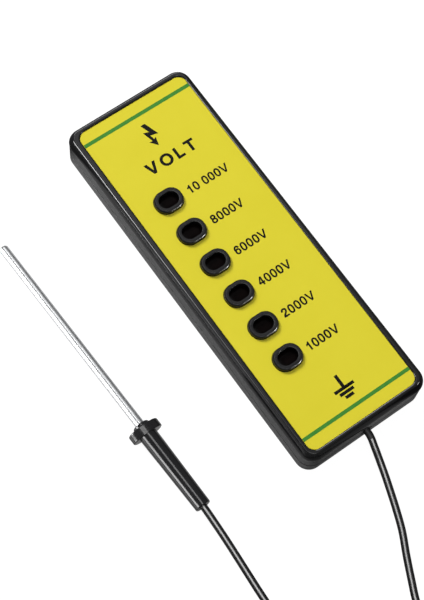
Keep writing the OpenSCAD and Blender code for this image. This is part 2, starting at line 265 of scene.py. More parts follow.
def material(name, a, b, tone_scale, rough, rough_scale, spec=0.5, metallic=0.0, bump=0.0,
             bump_scale=2000.0, bump_dist=0.00005, stretch=(1, 1, 1), turn=0.0, detail=3.0,
             coat=0.0, coat_rough=0.1, speck=None):
    """Procedural finish: two tones mixed by noise, roughness from a second noise, bump from a third."""
    m = bpy.data.materials.new(name)
    m.use_nodes = True
    nt = m.node_tree
    bsdf = next(n for n in nt.nodes if n.type == "BSDF_PRINCIPLED")
    bsdf.inputs["Metallic"].default_value = metallic
    bsdf.inputs["Specular IOR Level"].default_value = spec
    bsdf.inputs["Coat Weight"].default_value = coat
    bsdf.inputs["Coat Roughness"].default_value = coat_rough
    tc = nt.nodes.new("ShaderNodeTexCoord")
    mp = nt.nodes.new("ShaderNodeMapping")
    mp.inputs["Scale"].default_value = stretch
    mp.inputs["Rotation"].default_value = (0, 0, turn)
    nt.links.new(tc.outputs["Object"], mp.inputs["Vector"])

    def noise(scale, det):
        n = nt.nodes.new("ShaderNodeTexNoise")
        n.inputs["Scale"].default_value = scale
        n.inputs["Detail"].default_value = det
        n.inputs["Roughness"].default_value = 0.55
        nt.links.new(mp.outputs["Vector"], n.inputs["Vector"])
        return n.outputs["Fac"]

    def spread(src, lo, hi, f0=0.3, f1=0.7):
        r = nt.nodes.new("ShaderNodeMapRange")
        r.inputs["From Min"].default_value = f0
        r.inputs["From Max"].default_value = f1
        r.inputs["To Min"].default_value = lo
        r.inputs["To Max"].default_value = hi
        nt.links.new(src, r.inputs["Value"])
        return r.outputs["Result"]

    tone = noise(tone_scale, detail)
    mix = nt.nodes.new("ShaderNodeMix")
    mix.data_type = "RGBA"
    mix.inputs["A"].default_value = (*a, 1)
    mix.inputs["B"].default_value = (*b, 1)
    nt.links.new(spread(tone, 0, 1), mix.inputs["Factor"])
    colour = mix.outputs["Result"]
    if speck:
        rgb, scale, lo, hi, amount = speck
        sp = nt.nodes.new("ShaderNodeMix")
        sp.data_type = "RGBA"
        sp.inputs["B"].default_value = (*rgb, 1)
        nt.links.new(colour, sp.inputs["A"])
        nt.links.new(spread(noise(scale, 2.0), 0, amount, lo, hi), sp.inputs["Factor"])
        colour = sp.outputs["Result"]
    nt.links.new(colour, bsdf.inputs["Base Color"])
    nt.links.new(spread(noise(rough_scale, 3.0), rough[0], rough[1]), bsdf.inputs["Roughness"])
    if bump:
        bp = nt.nodes.new("ShaderNodeBump")
        bp.inputs["Strength"].default_value = bump
        bp.inputs["Distance"].default_value = bump_dist
        nt.links.new(noise(bump_scale, 2.0), bp.inputs["Height"])
        nt.links.new(bp.outputs["Normal"], bsdf.inputs["Normal"])
    return m


M = {}
M["bezel"] = material("bezel_polished", (0.005, 0.005, 0.0056), (0.008, 0.008, 0.009), 70, (0.10, 0.15), 420,
                      spec=0.45, bump=0.04, bump_scale=700, bump_dist=0.0001)
M["wall"] = material("wall_satin", (0.012, 0.012, 0.013), (0.018, 0.018, 0.019), 120, (0.38, 0.48), 900,
                     spec=0.36, bump=0.12, bump_scale=5200, bump_dist=0.00004)
M["low"] = material("rear_satin", (0.014, 0.014, 0.015), (0.021, 0.021, 0.022), 120, (0.36, 0.46), 900,
                    spec=0.5, bump=0.12, bump_scale=5200, bump_dist=0.00004)
M["collar"] = material("collar_satin", (0.006, 0.006, 0.0066), (0.009, 0.009, 0.010), 160, (0.22, 0.28), 700,
                       spec=0.35, bump=0.05, bump_scale=2400, bump_dist=0.00004)
M["inside"] = material("shell_inside", (0.012, 0.012, 0.013), (0.018, 0.018, 0.019), 120, (0.5, 0.6), 900,
                       spec=0.2, bump=0.1, bump_scale=2500)
M["label"] = material("label_film", (0.695, 0.610, 0.031), (0.712, 0.627, 0.035), 55, (0.40, 0.48), 700,
                      spec=0.11, bump=0.03, bump_scale=2600, bump_dist=0.00003)
M["ink"] = material("ink_black", (0.005, 0.005, 0.0045), (0.008, 0.008, 0.007), 900, (0.42, 0.52), 1500, spec=0.09)
M["green"] = material("ink_green", (0.046, 0.225, 0.030), (0.056, 0.250, 0.036), 500, (0.40, 0.50), 1500, spec=0.11)
M["window"] = material("smoked_lens", (0.0025, 0.0016, 0.0016), (0.004, 0.0022, 0.0022), 300, (0.16, 0.24), 500,
                       spec=0.03, bump=0.02, bump_scale=600)
M["rod"] = material("drawn_steel", (0.66, 0.67, 0.685), (0.75, 0.76, 0.77), 2600, (0.27, 0.34), 3200, metallic=1.0,
                    bump=0.004, bump_scale=5200, bump_dist=0.00002, stretch=(1, 0.012, 1), turn=-0.036)
M["handle"] = material("handle_gloss", (0.008, 0.008, 0.009), (0.012, 0.012, 0.013), 90, (0.12, 0.18), 500,
                       spec=0.45, bump=0.04, bump_scale=800, bump_dist=0.0001)
M["lead"] = material("lead_jacket", (0.004, 0.004, 0.0043), (0.006, 0.006, 0.0064), 240, (0.28, 0.35), 700,
                     spec=0.4, bump=0.012, bump_scale=1300, bump_dist=0.0001)
M["lead_end"] = material("lead_jacket_end", (0.005, 0.005, 0.0053), (0.008, 0.008, 0.0084), 240, (0.6, 0.7), 700,
                         spec=0.12, bump=0.03, bump_scale=1300, bump_dist=0.0001)
M["bush"] = material("bush_rubber", (0.010, 0.010, 0.010), (0.018, 0.018, 0.018), 500, (0.6, 0.75), 900, spec=0.2,
                     bump=0.2, bump_scale=2600)
M["tie"] = material("tie_nylon", (0.014, 0.014, 0.015), (0.022, 0.022, 0.023), 300, (0.38, 0.5), 900, spec=0.3,
                    bump=0.08, bump_scale=1800)
M["screw"] = material("zinc_screw", (0.55, 0.56, 0.57), (0.68, 0.69, 0.69), 700, (0.24, 0.40), 1500, metallic=1.0,
                      bump=0.1, bump_scale=3000)
M["contact"] = material("brushed_contact", (0.60, 0.61, 0.62), (0.72, 0.73, 0.74), 1800, (0.22, 0.36), 2600,
                        metallic=1.0, bump=0.12, bump_scale=4200, stretch=(0.03, 1, 1))
M["brass"] = material("brass_strip", (0.60, 0.42, 0.14), (0.70, 0.50, 0.18), 700, (0.25, 0.4), 1500, metallic=1.0,
                      bump=0.08, bump_scale=2500)
M["copper"] = material("copper_core", (0.62, 0.28, 0.14), (0.75, 0.36, 0.19), 1500, (0.28, 0.42), 1500, metallic=1.0,
                       bump=0.1, bump_scale=3500)
M["tinned"] = material("tinned_wire", (0.60, 0.61, 0.62), (0.74, 0.75, 0.76), 1500, (0.2, 0.35), 2000, metallic=1.0,
                       bump=0.06, bump_scale=4000)
M["board"] = material("paper_laminate", (0.36, 0.22, 0.075), (0.44, 0.28, 0.10), 900, (0.4, 0.55), 1200, spec=0.4,
                      bump=0.12, bump_scale=3000, speck=((0.30, 0.17, 0.05), 2200, 0.58, 0.7, 0.6))
M["resistor"] = material("resistor_lacquer", (0.20, 0.40, 0.54), (0.26, 0.47, 0.60), 900, (0.3, 0.42), 1500, spec=0.5,
                         bump=0.1, bump_scale=2500)
M["series"] = material("series_lacquer", (0.15, 0.05, 0.03), (0.20, 0.07, 0.045), 900, (0.3, 0.42), 1500, spec=0.5,
                       bump=0.1, bump_scale=2500)
M["insulation"] = material("wire_insulation", (0.38, 0.012, 0.010), (0.46, 0.02, 0.016), 700, (0.3, 0.4), 1500,
                           spec=0.5, bump=0.05, bump_scale=2500)
M["clamp"] = material("clamp_plastic", (0.014, 0.014, 0.015), (0.022, 0.022, 0.023), 300, (0.45, 0.55), 900, spec=0.3,
                      bump=0.1, bump_scale=2500)
M["glass"] = material("lamp_glass", (0.80, 0.85, 0.86), (0.88, 0.91, 0.92), 500, (0.04, 0.08), 900, spec=0.5,
                      bump=0.03, bump_scale=900)
next(n for n in M["glass"].node_tree.nodes if n.type == "BSDF_PRINCIPLED").inputs["Transmission Weight"].default_value = 0.9


# ---------------------------------------------------------------- lead
# The route repeats the solids' points: out of the bush, down to the table, into the coil, on to the handle.

probe_c = Vector((-65.5, -31.8, 3.65))
probe_a = Vector((-0.032, 1.0, -0.0205)).normalized()


def probe_pt(d):
    return probe_c + probe_a * d


exit_route = [(-0.4, -62, 6.4), (-0.4, -70, 6.4), (-0.4, -79, 6.4), (-1.3, -84, 5), (-2.3, -89, 2.8),
              (-3.6, -94, 1.6), (-5.5, -99.5, 1.4), (-7.9, -106, 1.4), (-11, -113.5, 1.4), (-15, -121, 1.4),
              (-19, -129, 1.4), (-22.5, -136.5, 1.4), (-24.5, -144, 1.7)]
probe_route = [probe_pt(-24.6), probe_pt(-29.6), probe_pt(-34.6), (-64.5, -73, 4.2), (-64.6, -80, 3.4),
               (-64.8, -87, 2.4), (-65.1, -94, 1.7), (-65.5, -102, 1.4), (-65.8, -110.5, 1.4),
               (-66.1, -119.5, 1.4), (-66.3, -128.5, 1.4), (-66.5, -139.5, 1.4)]
coil_c = (-46.0, -152.0)
TURNS = 3.5
PITCH = 3.05


def coil_point(t):
    """t in turns, clockwise from the east: in along the table, up, and out again on top."""
    if t < TURNS:
        r, z = 20.5 - PITCH * t, 1.4
    elif t < TURNS + 0.5:
        k = (t - TURNS) / 0.5
        r, z = 20.5 - PITCH * TURNS, 1.4 + 3.05 * k * k * (3 - 2 * k)
    else:
        r, z = 20.5 - PITCH * (2 * TURNS + 0.5 - t), 4.45
    a = 2 * math.pi * t
    south = math.atan2(math.sin(a - math.pi / 2), math.cos(a - math.pi / 2))
    z += 0.55 * math.exp(-(south / 0.5) ** 2)
    return Vector((coil_c[0] + r * math.cos(a), coil_c[1] - r * math.sin(a), z))


coil_pts = [coil_point(k / 60) for k in range(1, int(60 * (2 * TURNS + 0.5)) + 1)]
run_out = [Vector(p) for p in reversed(probe_route)]
lead_path = catmull([Vector(p) for p in exit_route] + coil_pts[:1], 6)[:-1]
lead_path += coil_pts
lead_path += catmull([coil_pts[-1], Vector((-66.55, -146.0, 3.1))] + run_out, 6)[1:]


def tube(name, path, r, n=14):
    b = Build()
    loops = []
    for i, p in enumerate(path):
        t = (path[min(i + 1, len(path) - 1)] - path[max(i - 1, 0)]).normalized()
        u = t.cross(Vector((0, 0, 1))).normalized()
        w = u.cross(t)
        loops.append([tuple(p + u * (r * math.cos(2 * math.pi * k / n)) + w * (r * math.sin(2 * math.pi * k / n)))
                      for k in range(n)])
    b.loft(loops, None, True, True)
    return b.object(name)


lead = seal(tube("lead", lead_path, 1.4, 20), [M["lead"], M["lead_end"]], weighted=False)
for face in lead.data.polygons:
    face.material_index = 1 if face.center.y > -81.0 * MM and face.center.x > -10 * MM else 0
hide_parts("lead_exit_run", "lead_coil", "lead_probe_run")
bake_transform(lead)


# ---------------------------------------------------------------- tie round the coil

def make_tie():
    y0, zc = coil_c[1] - 15.2, 3.55
    b = Build()
    w, l, r = 15.0, 7.1, 1.6
    loops = []
    for x, k in ((-2.0, 0.12), (-1.88, 0.0), (1.88, 0.0), (2.0, 0.12)):
        loops.append([(coil_c[0] + x, y0 + p, zc + q) for p, q in rrect(w - 2 * k, l - 2 * k, r, 6)])
    for x, k in ((2.0, 0.10), (1.88, 0.0), (-1.88, 0.0), (-2.0, 0.10)):
        loops.append([(coil_c[0] + x, y0 + p, zc + q)
                      for p, q in rrect(w - 1.1 + 2 * k, l - 1.1 + 2 * k, r - 0.45, 6)])
    first, last = b.loft(loops)
    b.bridge(last, first)
    # head with its slot mouth, and the cut tail that comes out of it
    hx, hy, hz = coil_c[0], y0, 7.0
    head = [(0.35, 0.0, 0.0), (0.0, 0.0, 0.3), (0.0, 0.0, 2.0), (0.15, 0.15, 2.3), (0.5, 0.5, 2.4)]
    b.loft([at_z(rrect(5.2 - 2 * i, 4.4 - 2 * j, 0.6, 5, (hx, hy)), hz + z) for i, j, z in head], None, True, False)
    return b, (hx, hy, hz, head)


def tie_piece():
    b, (hx, hy, hz, head) = make_tie()
    b.bm.verts.ensure_lookup_table()
    n = len(rrect(1, 1, 0.2, 5))
    last = [b.bm.verts[len(b.bm.verts) - n + i] for i in range(n)]
    b.onward(last, [at_z(rrect(3.6, 1.2, 0.2, 5, (hx, hy)), hz + 2.4),
                    at_z(rrect(3.4, 1.0, 0.2, 5, (hx, hy)), hz + 1.2)], 0, True)
    # tail strip with its fine teeth, bent over
    pts = catmull([Vector((hx, hy, hz + 0.8)), Vector((hx, hy - 0.1, hz + 2.6)), Vector((hx, hy - 1.2, hz + 4.0)),
                   Vector((hx, hy - 3.6, hz + 4.6)), Vector((hx, hy - 6.4, hz + 4.3))], 8)
    loops = []
    for i, p in enumerate(pts):
        t = (pts[min(i + 1, len(pts) - 1)] - pts[max(i - 1, 0)]).normalized()
        nrm = Vector((1, 0, 0)).cross(t)
        h = 0.42 + (0.10 if i % 2 else 0.0)
        wd = 1.55 if i < len(pts) - 3 else 1.55 - 0.35 * (i - len(pts) + 4)
        loops.append([tuple(p + Vector((sx * wd, 0, 0)) + nrm * (sn * h)) for sx, sn in
                      ((-1, -1), (1, -1), (1, 1), (-1, 1))])
    b.loft(loops, None, True, True)
    return b.object("coil_tie")


tie = seal(tie_piece(), [M["tie"]])
finish_piece(tie, "tester", "tie_plastic", "lead_tie")


# ---------------------------------------------------------------- housing

W, L, R = 54.6, 155.3, 5.6
LW, LL, LR = 54.3, 155.0, 5.45
EXIT = (-0.4, 6.4)
CONTACT_Z = 9.3
lamps = [(-10.0, 33.1 - 14.85 * i) for i in range(6)]
corners = [(sx * 20.0, sy * 70.4) for sx in (-1, 1) for sy in (-1, 1)]
posts = [(-17.2, 42.6), (17.2, 42.6), (-17.2, -46.6), (17.2, -46.6)]
SEAT, TOP, PLATE, RIM, LIP = 15.2, 15.5, 13.2, 16.0, 17.1


def on_label(p):
    """The film is stuck on a hair out of line with the shell."""
    return (p[0] + 0.004 * p[1] + 0.25, p[1] - 0.004 * p[0] - 0.2)


def body_ring(i, z, n=14):
    return at_z(rrect(W - 2 * i, L - 2 * i, max(R - i, 2.4), n), z)


def recess_ring(i, z, n=14):
    return at_z([on_label(p) for p in rrect(47.9 + 2 * i, 149.1 + 2 * i, 3.5 + i, n)], z)


def collar_ring(i, z, c, n=8):
    return at_z(rrect(11.4 - 2 * i, 9.2 - 2 * i * 1.097, 4.3 - 1.05 * i, n, c), z)


def cylinder_y(c, r, y0, y1, n=32):
    b = Build()
    lathe(b, [(r, y0), (r, y1)], (c[0], 0, c[1]), (0, 1, 0), n)
    return b.object("cutter")


def block(x0, x1, y0, y1, z0, z1, n=3):
    b = Build()
    b.loft([at_z(rrect(x1 - x0, y1 - y0, 0.2, n, ((x0 + x1) / 2, (y0 + y1) / 2)), z) for z in (z0, z1)], None, True, True)
    return b.object("cutter")


def drum(c, r, z0, z1, n=28):
    b = Build()
    b.loft([at_z(circle(r, n, c), z) for z in (z0, z1)], None, True, True)
    return b.object("cutter")


def make_front():
    b = Build()
    BZ, WL, IN = 0, 1, 2
    prof = [(2.35, PLATE, IN), (2.35, 6.4, IN), (0.95, 6.42, IN), (0.30, 6.44, WL), (0.20, 6.5, WL), (0.15, 6.64, WL),
            (0.15, 9.2, WL), (0.15, 11.75, WL), (0.17, 11.9, WL), (0.25, 12.0, WL), (0.42, 12.06, BZ), (0.40, 12.13, BZ),
            (0.20, 12.16, BZ), (0.09, 12.22, BZ), (0.05, 12.32, BZ), (0.05, 12.5, BZ), (0.09, 12.75, BZ), (0.17, 13.05, BZ),
            (0.29, 13.4, BZ), (0.45, 13.78, BZ), (0.64, 14.15, BZ), (0.85, 14.52, BZ), (1.06, 14.87, BZ),
            (1.25, 15.16, BZ), (1.37, 15.32, BZ), (1.46, 15.42, BZ), (1.53, 15.53, BZ)]
    prof += [(i, z, BZ) for i, z in arc((2.25, 15.15), 0.85, 0.85, 58, 0, 8)]
    loops = [body_ring(i, z) for i, z, m in prof]
    mats = [p[2] for p in prof]
    for i, z in ((0.58, RIM), (0.46, 15.97), (0.30, 15.9), (0.15, 15.81), (0.05, 15.71), (0.01, 15.6), (0.0, 15.5), (0.0, SEAT)):
        loops.append(recess_ring(i, z))
        mats.append(BZ)
    first, last = b.loft(loops, mats)
    # lamp openings
    tops, unders = [], []
    for c in lamps:
        f, e = b.loft([collar_ring(1.55, z, c) for z in (SEAT, 14.2, PLATE)])
        tops.append(f)
        unders.append(e)
    b.plane(last, tops, BZ)
    # screw bosses and board posts hang from the plate
    for pts, r, z, rb, zb in ((corners, 3.2, 8.0, 1.35, 12.0), (posts, 2.5, 5.4, 1.1, 11.0)):
        for c in pts:
            f = b.loop(at_z(circle(r, 28, c), PLATE))
            b.onward(f, [at_z(circle(r, 28, c), z), at_z(circle(rb, 28, c), z), at_z(circle(rb, 28, c), zb)], IN, True)
            unders.append(f)
    b.plane(first, unders, IN)
    o = b.object("front_housing_shell")
    for k in ("bezel", "wall", "inside"):
        o.data.materials.append(M[k])
    boolean(o, cylinder_y(EXIT, 2.55, -80, -68))
    cut = Build()
    cut.loft([[(x, y, z + CONTACT_Z) for x, z in rrect(30.2, 4.6, 1.05, 6)] for y in (77.0, 80.0)], None, True, True)
    boolean(o, cut.object("cutter"))
    for s in (-1, 1):
        boolean(o, cylinder_y((s * 10, CONTACT_Z), 1.25, 72, 79))
    return seal(o, [M["bezel"], M["wall"], M["inside"]])


front = finish_piece(make_front(), "tester", "housing_plastic", "front_housing")


def make_collars():
    b = Build()
    ring = [(0.0, SEAT - 0.05), (0.0, 15.7), (0.02, 16.1)] + arc((0.85, 16.25), 0.85, 0.85, 84, 0, 8)
    ring += [(1.15, 17.1), (1.36, 17.09)]
    edge = [(8.1, 6.0, 2.95, 17.06), (7.95, 5.85, 2.88, 17.0), (7.9, 5.8, 2.85, 16.9), (7.9, 5.8, 2.85, SEAT - 0.05)]
    for c in lamps:
        loops = [collar_ring(i, z, c, 12) for i, z in ring] + [at_z(rrect(w, l, r, 12, c), z) for w, l, r, z in edge]
        f, e = b.loft(loops)
        b.bridge(e, f)
    return seal(b.object("lamp_collar_set"), [M["collar"]])


collars = finish_piece(make_collars(), "tester", "housing_plastic")


def make_rear():
    b = Build()
    prof = [(0.9 - 0.9 * math.sin(math.radians(a)), 0.9 - 0.9 * math.cos(math.radians(a)), 0) for a in range(0, 91, 10)]
    prof += [(0.0, 3.4, 0), (0.0, 5.75, 0), (0.03, 5.88, 0), (0.10, 5.95, 1), (0.95, 5.97, 1), (0.95, 6.36, 1), (2.3, 6.36, 1),
             (2.3, 7.45, 1), (2.42, 7.6, 1), (3.28, 7.6, 1), (3.4, 7.45, 1), (3.4, 2.2, 1)]
    b.loft([at_z(rrect(LW - 2 * i, LL - 2 * i, LR - i, 14), z) for i, z, m in prof], [p[2] for p in prof], True, True)
    o = b.object("rear_cover_shell")
    for k in ("low", "inside"):
        o.data.materials.append(M[k])
    # screw bosses, the block and posts of the lead clamp, and the ribs beside the board
    for c in corners:
        boolean(o, drum(c, 3.2, 1.0, 7.9), "UNION")
    boolean(o, block(EXIT[0] - 8, EXIT[0] + 8, -69, -62, 1.7, 4.85), "UNION")
    for s in (-1, 1):
        boolean(o, drum((EXIT[0] + s * 5.6, -65.5), 2.4, 1.7, 7.9), "UNION")
        for y in (-30, 0, 30):
            boolean(o, block(s * 22.2 - 0.6, s * 22.2 + 0.6, y - 0.6, y + 0.6, 1.7, 5.7), "UNION")
    for c in corners:
        k = Build()
        k.loft([at_z(circle(r, 32, c), z) for r, z in ((2.75, -1.0), (2.75, 0.0), (2.6, 0.15), (2.6, 1.8), (1.5, 1.8),
                                                      (1.5, 9.0))], None, True, True)
        boolean(o, k.object("cutter"))
    for s in (-1, 1):
        boolean(o, drum((EXIT[0] + s * 5.6, -65.5), 1.1, 4.0, 9.0))
    boolean(o, cylinder_y(EXIT, 2.55, -80, -68))
    return seal(o, [M["low"], M["inside"]])


rear = finish_piece(make_rear(), "tester", "housing_plastic", "rear_cover")


def make_screws():
    b = Build()
    for c in corners:
        lathe(b, [(2.0, 0.3), (2.2, 0.38), (2.3, 0.62), (2.3, 1.8), (1.25, 1.8), (1.25, 11.2), (0.9, 11.6)],
              (c[0], c[1], 0), (0, 0, 1), 32)
    o = b.object("housing_screw_set")
    for c in corners:
        for turn in (20, 110):
            k = Build()
            a = math.radians(turn + 13 * c[0] + 3 * c[1])
            rot = Matrix.Rotation(a, 2)
            loops = []
            for z, hw, hl in ((-0.5, 0.34, 1.5), (0.3, 0.34, 1.45), (1.2, 0.22, 0.75)):
                loops.append([(*(rot @ Vector(p) + Vector(c)), z) for p in ((-hl, -hw), (hl, -hw), (hl, hw), (-hl, hw))])
            k.loft(loops, None, True, True)
            boolean(o, k.object("cutter"))
    return seal(o, [M["screw"]])


finish_piece(make_screws(), "tester", "screw_steel", "housing_screws")


# ---------------------------------------------------------------- label, print and lamp windows

def make_label():
    b = Build()
    loops = [(0.0, SEAT), (0.0, 15.44), (0.05, TOP)]
    f, e = b.loft([at_z([on_label(p) for p in rrect(47.7 - 2 * i, 148.9 - 2 * i, 3.4 - i, 12)], z) for i, z in loops])
    tops, lows = [], []
    for c in lamps:
        lo, hi = b.loft([at_z(rrect(11.7 + 2 * i, 9.5 + 2 * i, 4.4 + i, 8, c), z) for i, z in loops])
        lows.append(lo)
        tops.append(hi)
    b.plane(e, tops)
    b.plane(f, lows)
    return seal(b.object("face_label"), [M["label"]])


finish_piece(make_label(), "tester", "label_yellow", "front_label")


def make_windows():
    b = Build()
    for c in lamps:
        prof = [(10.6, 8.2, 3.9, 12.2), (10.6, 8.2, 3.9, PLATE - 0.02), (8.1, 5.6, 2.7, PLATE - 0.02), (8.1, 5.6, 2.7, 14.3),
                (8.0, 5.5, 2.65, 14.52), (7.7, 5.2, 2.5, 14.66), (7.1, 4.6, 2.2, 14.75), (5.4, 3.2, 1.5, 14.85),
                (3.2, 1.6, 0.75, 14.9)]
        b.loft([at_z(rrect(w, l, r, 8, c), z) for w, l, r, z in prof], None, True, True)
    return seal(b.object("lamp_window_set"), [M["window"]])


finish_piece(make_windows(), "tester", "lamp_window", "lamp_windows")


def swell(poly, d):
    """Moves an outline outwards by d."""
    n = len(poly)
    turn = sum(poly[i][0] * poly[(i + 1) % n][1] - poly[(i + 1) % n][0] * poly[i][1] for i in range(n))
    d = math.copysign(d, d * turn)
    out = []
    for i in range(n):
        p, q, r = Vector(poly[i - 1]), Vector(poly[i]), Vector(poly[(i + 1) % n])
        e, f = (q - p).normalized(), (r - q).normalized()
        m = Vector((e.y + f.y, -e.x - f.x))
        m = m.normalized() if m.length > 1e-6 else Vector((e.y, -e.x))
        out.append(tuple(q + m * (d / max(m.dot(Vector((e.y, -e.x))), 0.6))))
    return out


def print_shape(b, adds, subs, spread=0.0, z0=15.49, z1=15.52):
    """A thin closed layer of ink: the union of some outlines less some others, with the ink's spread."""
    adds = [[on_label(p) for p in swell(poly, spread)] for poly in adds]
    subs = [[on_label(p) for p in swell(poly, -spread)] for poly in subs]
    pts, edges = [], []
    for poly in adds + subs:
        k = len(pts)
        pts += [Vector(p) for p in poly]
        edges += [(k + i, k + (i + 1) % len(poly)) for i in range(len(poly))]
    vs, _, faces, *_ = delaunay_2d_cdt(pts, edges, [], 0, 1e-5)
    keep = []
    for f in faces:
        m = sum((vs[i] for i in f), Vector((0, 0))) / len(f)
        if any(inside(m, p) for p in adds) and not any(inside(m, p) for p in subs):
            keep.append(list(f))
    used = sorted({i for f in keep for i in f})
    up = {i: b.bm.verts.new((vs[i].x, vs[i].y, z1)) for i in used}
    dn = {i: b.bm.verts.new((vs[i].x, vs[i].y, z0)) for i in used}
    count = {}
    for f in keep:
        b.bm.faces.new([up[i] for i in f])
        b.bm.faces.new([dn[i] for i in reversed(f)])
        for k in range(len(f)):
            e = (f[k], f[(k + 1) % len(f)])
            count[tuple(sorted(e))] = None if tuple(sorted(e)) in count else e
    for e in count.values():
        if e:
            b.bm.faces.new((up[e[1]], up[e[0]], dn[e[0]], dn[e[1]]))


def oval(cx, cy, rx, ry, p=2.3, n=44):
    out = []
    for k in range(n):
        a = 2 * math.pi * k / n
        c, s = math.cos(a), math.sin(a)
        out.append((cx + rx * math.copysign(abs(c) ** (2 / p), c), cy + ry * math.copysign(abs(s) ** (2 / p), s)))
    return out


def stroke(pts, width):
    c = catmull([Vector(p).to_3d() for p in pts], 6)
    left, right = [], []
    for i, p in enumerate(c):
        t = (c[min(i + 1, len(c) - 1)] - c[max(i - 1, 0)]).normalized()
        nrm = Vector((-t.y, t.x, 0)) * width / 2
        left.append(tuple((p + nrm).to_2d()))
        right.append(tuple((p - nrm).to_2d()))
    return left + right[::-1]


# Figures and capitals drawn on a unit height: (outlines, holes, left edge, advance); small letters are the bold capitals
S = 0.155
GLYPHS = {
    "0": ([oval(0.36, 0.5, 0.33, 0.52, 2.35)], [oval(0.36, 0.5, 0.18, 0.39, 2.2)], 0.035, 0.835),
    "1": ([[(0.355, 0.0), (0.51, 0.0), (0.51, 1.01), (0.42, 1.01), (0.385, 0.94), (0.29, 0.84), (0.15, 0.765),
            (0.15, 0.62), (0.26, 0.67), (0.355, 0.745)]], [], 0.15, 0.835),
    "2": ([stroke([(0.10, 0.69), (0.13, 0.83), (0.22, 0.92), (0.36, 0.945), (0.50, 0.91), (0.58, 0.81),
                   (0.58, 0.68), (0.51, 0.55), (0.38, 0.42), (0.24, 0.29), (0.14, 0.17), (0.10, 0.06)], S),
           [(0.03, 0.0), (0.67, 0.0), (0.67, 0.138), (0.10, 0.138), (0.03, 0.05)]], [], 0.03, 0.835),
    "4": ([[(0.40, 1.01), (0.555, 1.01), (0.555, 0.37), (0.685, 0.37), (0.685, 0.228), (0.555, 0.228), (0.555, 0.0),
            (0.40, 0.0), (0.40, 0.228), (0.01, 0.228), (0.01, 0.36)]],
          [[(0.40, 0.37), (0.40, 0.775), (0.16, 0.37)]], 0.01, 0.835),
    "6": ([oval(0.365, 0.325, 0.32, 0.345, 2.1),
           stroke([(0.605, 0.745), (0.56, 0.86), (0.46, 0.935), (0.365, 0.945), (0.25, 0.90), (0.165, 0.78),
                   (0.12, 0.62), (0.117, 0.45), (0.13, 0.30)], S)], [oval(0.37, 0.325, 0.17, 0.215, 2.1)], 0.04, 0.835),
    "8": ([oval(0.36, 0.745, 0.29, 0.275, 2.1), oval(0.36, 0.277, 0.33, 0.297, 2.1)],
          [oval(0.36, 0.745, 0.145, 0.142, 2.1), oval(0.36, 0.277, 0.18, 0.165, 2.1)], 0.035, 0.835),
    "V": ([[(0.0, 1.0), (0.165, 1.0), (0.465, 0.17), (0.765, 1.0), (0.93, 1.0), (0.55, 0.0), (0.38, 0.0)]], [], 0.0, 0.93),
    "v": ([[(0.0, 1.0), (0.225, 1.0), (0.49, 0.26), (0.755, 1.0), (0.98, 1.0), (0.605, 0.0), (0.375, 0.0)]], [], 0.0, 0.98),
    "o": ([oval(0.54, 0.5, 0.53, 0.525, 2.15)], [oval(0.54, 0.5, 0.325, 0.35, 2.05)], 0.01, 1.08),
    "l": ([[(0.0, 0.0), (0.66, 0.0), (0.66, 0.175), (0.205, 0.175), (0.205, 1.0), (0.0, 1.0)]], [], 0.0, 0.66),
    "t": ([[(0.0, 1.0), (0.85, 1.0), (0.85, 0.825), (0.5275, 0.825), (0.5275, 0.0), (0.3225, 0.0), (0.3225, 0.825),
            (0.0, 0.825)]], [], 0.0, 0.85),
    " ": ([], [], 0.0, 0.42),
}


def write(b, text, x, y, h, gap=0.0):
    x -= GLYPHS[text[0]][2] * h
    for ch in text:
        adds, subs, _, adv = GLYPHS[ch]
        if adds:
            print_shape(b, [[(x + p[0] * h, y + p[1] * h) for p in poly] for poly in adds],
                        [[(x + p[0] * h, y + p[1] * h) for p in poly] for poly in subs], 0.10)
        x += adv * h + gap


def make_print():
    b = Build()
    for text, y in (("10 000V", 31.25), ("8000V", 16.4), ("6000V", 1.4), ("4000V", -13.4), ("2000V", -28.2),
                    ("1000V", -43.45)):
        write(b, text, -1.65, y, 3.3)
    write(b, "volt", -10.0, 45.4, 4.7, 1.6)
    # flash arrow at the contact end
    print_shape(b, [[(-1.55, 64.6), (0.35, 64.6), (2.45, 58.55), (-0.62, 59.35), (-0.22, 57.35), (0.75, 57.85),
                     (-0.2, 54.25), (-2.65, 57.2), (-1.22, 57.0), (-2.45, 61.65), (-0.2, 60.85)]], [])
    # earth sign at the lead end
    print_shape(b, [[(-0.65, -56.0), (-0.65, -62.1), (0.65, -62.1), (0.65, -56.0)],
                    [(-4.25, -60.9), (-4.25, -62.1), (4.25, -62.1), (4.25, -60.9)]], [])
    for w, y in ((3.05, -62.6), (1.8, -64.3)):
        print_shape(b, [[(-w, y), (-w, y - 1.2), (w, y - 1.2), (w, y)]], [])
    return seal(b.object("print_scale"), [M["ink"]], weighted=False)


finish_piece(make_print(), "tester", "print_black")


def make_lines():
    b = Build()
    for y0, y1 in ((68.3, 69.8), (-69.6, -68.2)):
        print_shape(b, [[(-23.78, y0), (23.78, y0), (23.78, y1), (-23.78, y1)]], [])
    return seal(b.object("print_lines"), [M["green"]], weighted=False)


finish_piece(make_lines(), "tester", "print_green")


# ---------------------------------------------------------------- contact plate, rivets and bush

def make_contact():
    b = Build()
    prof = [(0.0, 77.01), (0.0, 77.77), (0.06, 77.92), (0.2, 78.0)]
    b.loft([[(x, y, z + CONTACT_Z) for x, z in rrect(30 - 2 * i, 4.4 - 2 * i, 1.0, 8)] for i, y in prof], None, True, True)
    return seal(b.object("contact_plate"), [M["contact"]])


finish_piece(make_contact(), "tester", "contact_steel", "fence_contact")


